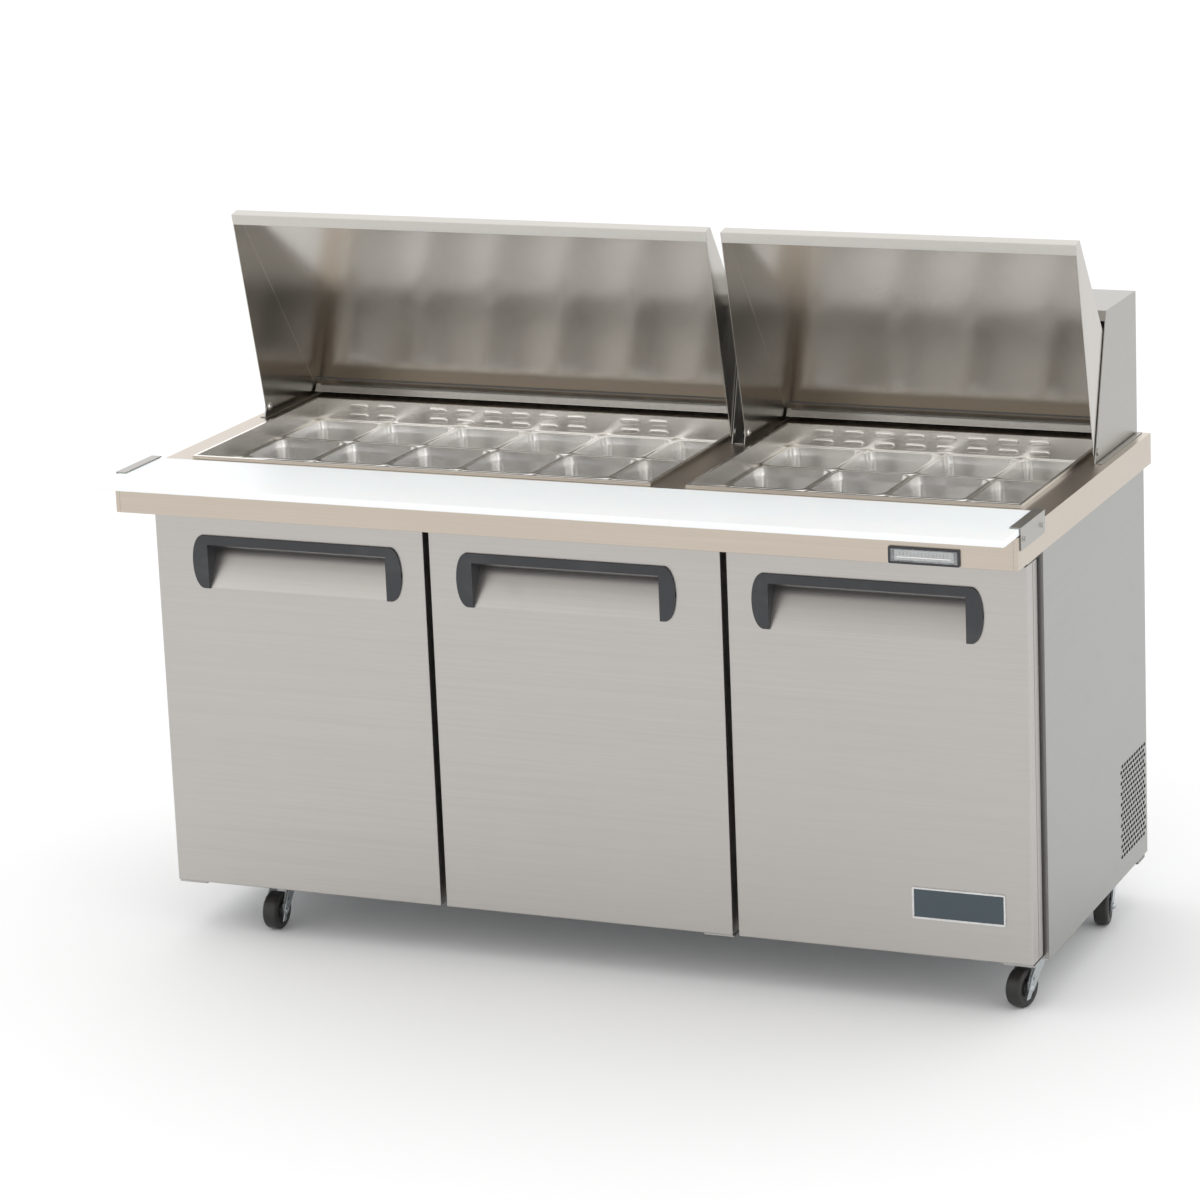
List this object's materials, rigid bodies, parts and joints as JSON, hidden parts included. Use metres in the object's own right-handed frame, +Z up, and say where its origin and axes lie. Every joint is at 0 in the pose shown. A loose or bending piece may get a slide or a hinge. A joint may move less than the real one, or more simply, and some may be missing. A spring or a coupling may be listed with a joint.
{
  "type": "sandwich prep table",
  "caption": "Refrigerated sandwich prep table on casters: cold cabinet with hinged doors, wells of food pans under folding lids, and a full-length cutting board.",
  "frame": {"origin": "on the floor, under the middle of the table's outline", "axes": "+X along the length to the right seen from the front, +Y towards the back, +Z up"},
  "size_m": [1.8584, 0.944, 1.4136],
  "materials": {
    "brushed_steel": "vertically brushed stainless steel",
    "warm_steel": "brushed stainless steel of a warmer tone",
    "polished_steel": "polished stainless steel",
    "galvanized_steel": "galvanized sheet",
    "zinc_plate": "bright zinc plate",
    "liner_aluminium": "stucco aluminium liner",
    "insulation_foam": "rigid foam",
    "white_board": "white cutting board plastic",
    "shelf_coating": "coated wire",
    "charcoal_plastic": "moulded charcoal plastic",
    "gasket_rubber": "soft black rubber",
    "wheel_tread": "hard black rubber",
    "black_enamel": "black enamel",
    "slate_plate": "blank slate-coloured plate with a light border"
  },
  "bodies": {
    "table": {"base_pan": "galvanized_steel", "left_side_panel": "brushed_steel", "right_side_panel": "brushed_steel", "back_panel": "galvanized_steel", "machine_cover": "galvanized_steel", "insulation_body": "insulation_foam", "cabinet_liner": "liner_aluminium", "front_frame": "brushed_steel", "countertop": "warm_steel", "cutting_board": "white_board", "left_board_bracket": "brushed_steel", "right_board_bracket": "brushed_steel", "left_pan_well": "polished_steel", "right_pan_well": "polished_steel", "left_pans": "polished_steel", "right_pans": "polished_steel", "left_hood": "brushed_steel", "right_hood": "brushed_steel", "left_door_lower_hinge": "zinc_plate", "left_door_upper_hinge": "zinc_plate", "left_shelf": "shelf_coating", "middle_door_lower_hinge": "zinc_plate", "middle_door_upper_hinge": "zinc_plate", "middle_shelf": "shelf_coating", "right_door_lower_hinge": "zinc_plate", "right_door_upper_hinge": "zinc_plate", "right_shelf": "shelf_coating", "compressor": "black_enamel", "condenser_coil": "liner_aluminium", "condenser_shroud": "black_enamel", "evaporator_coil": "liner_aluminium", "thermometer": "black_enamel", "power_gland": "gasket_rubber"},
    "left_door": {"left_door_shell": "brushed_steel", "left_door_liner": "liner_aluminium", "left_door_gasket": "gasket_rubber", "left_door_handle": "charcoal_plastic"},
    "middle_door": {"middle_door_shell": "brushed_steel", "middle_door_liner": "liner_aluminium", "middle_door_gasket": "gasket_rubber", "middle_door_handle": "charcoal_plastic"},
    "right_door": {"right_door_shell": "brushed_steel", "right_door_liner": "liner_aluminium", "right_door_gasket": "gasket_rubber", "right_door_handle": "charcoal_plastic", "name_plate": "slate_plate"},
    "left_lid": {"left_lid": "brushed_steel"},
    "right_lid": {"right_lid": "brushed_steel"},
    "condenser_fan": {"condenser_fan": "black_enamel"},
    "evaporator_fan": {"evaporator_fan": "black_enamel"},
    "front_left_caster": {"front_left_caster_fork": "zinc_plate"},
    "front_left_wheel": {"front_left_caster_wheel": "wheel_tread"},
    "front_right_caster": {"front_right_caster_fork": "zinc_plate"},
    "front_right_wheel": {"front_right_caster_wheel": "wheel_tread"},
    "rear_left_caster": {"rear_left_caster_fork": "zinc_plate"},
    "rear_left_wheel": {"rear_left_caster_wheel": "wheel_tread"},
    "rear_right_caster": {"rear_right_caster_fork": "zinc_plate"},
    "rear_right_wheel": {"rear_right_caster_wheel": "wheel_tread"},
    "front_left_brake": {"front_left_caster_brake": "zinc_plate"},
    "front_right_brake": {"front_right_caster_brake": "zinc_plate"}
  },
  "joints": [
    {"name": "left_door_hinge", "type": "hinge", "parent": "table", "child": "left_door", "pos_m": [-0.8895, -0.263, 0.495], "axis": [0, 0, -1], "range_deg": [0, 110]},
    {"name": "middle_door_hinge", "type": "hinge", "parent": "table", "child": "middle_door", "pos_m": [0.2865, -0.263, 0.495], "axis": [0, 0, 1], "range_deg": [0, 90]},
    {"name": "right_door_hinge", "type": "hinge", "parent": "table", "child": "right_door", "pos_m": [0.8895, -0.263, 0.495], "axis": [0, 0, 1], "range_deg": [0, 110]},
    {"name": "left_lid_hinge", "type": "hinge", "parent": "table", "child": "left_lid", "pos_m": [-0.374, 0.2, 0.985], "axis": [1, 0, 0], "range_deg": [0, 77.4]},
    {"name": "right_lid_hinge", "type": "hinge", "parent": "table", "child": "right_lid", "pos_m": [0.5335, 0.2, 0.985], "axis": [1, 0, 0], "range_deg": [0, 77.4]},
    {"name": "front_left_swivel", "type": "hinge", "parent": "table", "child": "front_left_caster", "pos_m": [-0.723, -0.172, 0.088], "axis": [0, 0, 1], "continuous": true},
    {"name": "front_left_wheel_spin", "type": "hinge", "parent": "front_left_caster", "child": "front_left_wheel", "pos_m": [-0.723, -0.21, 0.038], "axis": [1, 0, 0], "continuous": true},
    {"name": "front_left_brake_pedal", "type": "hinge", "parent": "front_left_caster", "child": "front_left_brake", "pos_m": [-0.7015, -0.202, 0.056], "axis": [-1, 0, 0], "range_deg": [0, 15]},
    {"name": "front_right_swivel", "type": "hinge", "parent": "table", "child": "front_right_caster", "pos_m": [0.866, -0.172, 0.088], "axis": [0, 0, 1], "continuous": true},
    {"name": "front_right_wheel_spin", "type": "hinge", "parent": "front_right_caster", "child": "front_right_wheel", "pos_m": [0.85616, -0.20871, 0.038], "axis": [0.9659, -0.2588, 0], "continuous": true},
    {"name": "front_right_brake_pedal", "type": "hinge", "parent": "front_right_caster", "child": "front_right_brake", "pos_m": [0.879, -0.20654, 0.056], "axis": [-0.9659, 0.2588, 0], "range_deg": [0, 15]},
    {"name": "rear_left_swivel", "type": "hinge", "parent": "table", "child": "rear_left_caster", "pos_m": [-0.723, 0.315, 0.088], "axis": [0, 0, 1], "continuous": true},
    {"name": "rear_left_wheel_spin", "type": "hinge", "parent": "rear_left_caster", "child": "rear_left_wheel", "pos_m": [-0.723, 0.277, 0.038], "axis": [1, 0, 0], "continuous": true},
    {"name": "rear_right_swivel", "type": "hinge", "parent": "table", "child": "rear_right_caster", "pos_m": [0.866, 0.315, 0.088], "axis": [0, 0, 1], "continuous": true},
    {"name": "rear_right_wheel_spin", "type": "hinge", "parent": "rear_right_caster", "child": "rear_right_wheel", "pos_m": [0.87129, 0.27737, 0.038], "axis": [0.9903, 0.1392, 0], "continuous": true},
    {"name": "condenser_fan_spin", "type": "hinge", "parent": "table", "child": "condenser_fan", "pos_m": [0.809, 0.361, 0.245], "axis": [1, 0, 0], "continuous": true},
    {"name": "evaporator_fan_spin", "type": "hinge", "parent": "table", "child": "evaporator_fan", "pos_m": [0, 0.349, 0.65], "axis": [0, 1, 0], "continuous": true}
  ]
}
